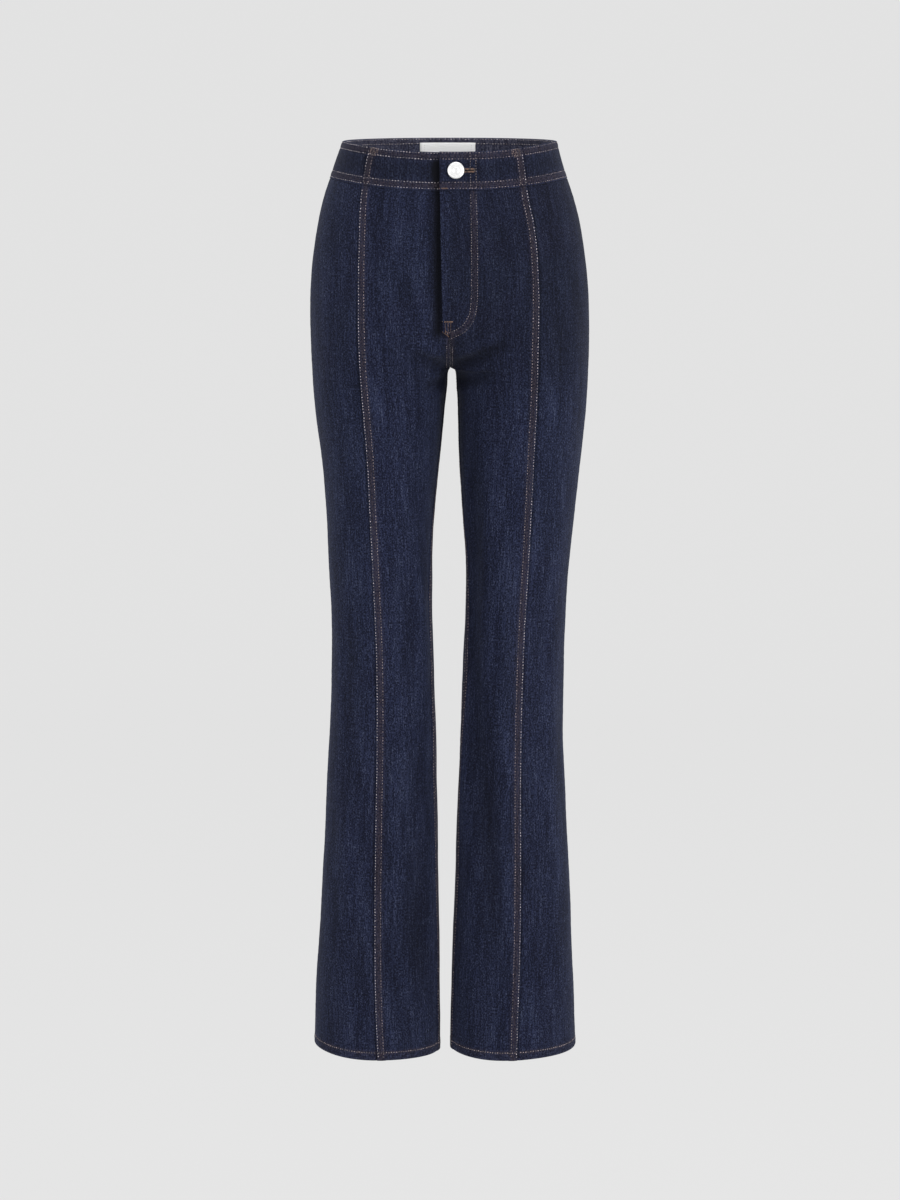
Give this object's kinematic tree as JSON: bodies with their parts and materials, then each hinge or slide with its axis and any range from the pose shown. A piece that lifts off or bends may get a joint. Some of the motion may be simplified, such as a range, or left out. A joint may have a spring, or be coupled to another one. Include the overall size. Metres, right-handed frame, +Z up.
{
  "type": "bootcut jeans",
  "caption": "Hollow pair of high-waisted bootcut jeans in dark denim, filled out as worn, with long front seams, a fly, a button and a contoured waistband.",
  "frame": {"origin": "centre of the waist ring, level with the waistband's top edge at the sides, where the wearer holds the jeans up", "axes": "+Z up out of the waist, -Y towards the front of the jeans, +X towards the wearer's left"},
  "size_m": [0.3306, 0.228, 1.1046],
  "materials": {
    "denim": "dark indigo stretch denim twill with vertical slubs, matte",
    "label_cloth": "white woven label, plain",
    "button_metal": "bright nickel plate",
    "zip_tape": "dark woven zip tape"
  },
  "bodies": {
    "root": {"front_centre_right": "denim", "front_centre_left": "denim", "front_side_right": "denim", "front_side_left": "denim", "back_right": "denim", "back_left": "denim", "band_centre_right": "denim", "band_centre_left": "denim", "band_side_right": "denim", "band_side_left": "denim", "band_back": "denim", "label": "label_cloth", "fly_zip": "zip_tape", "button": "button_metal"}
  },
  "joints": []
}
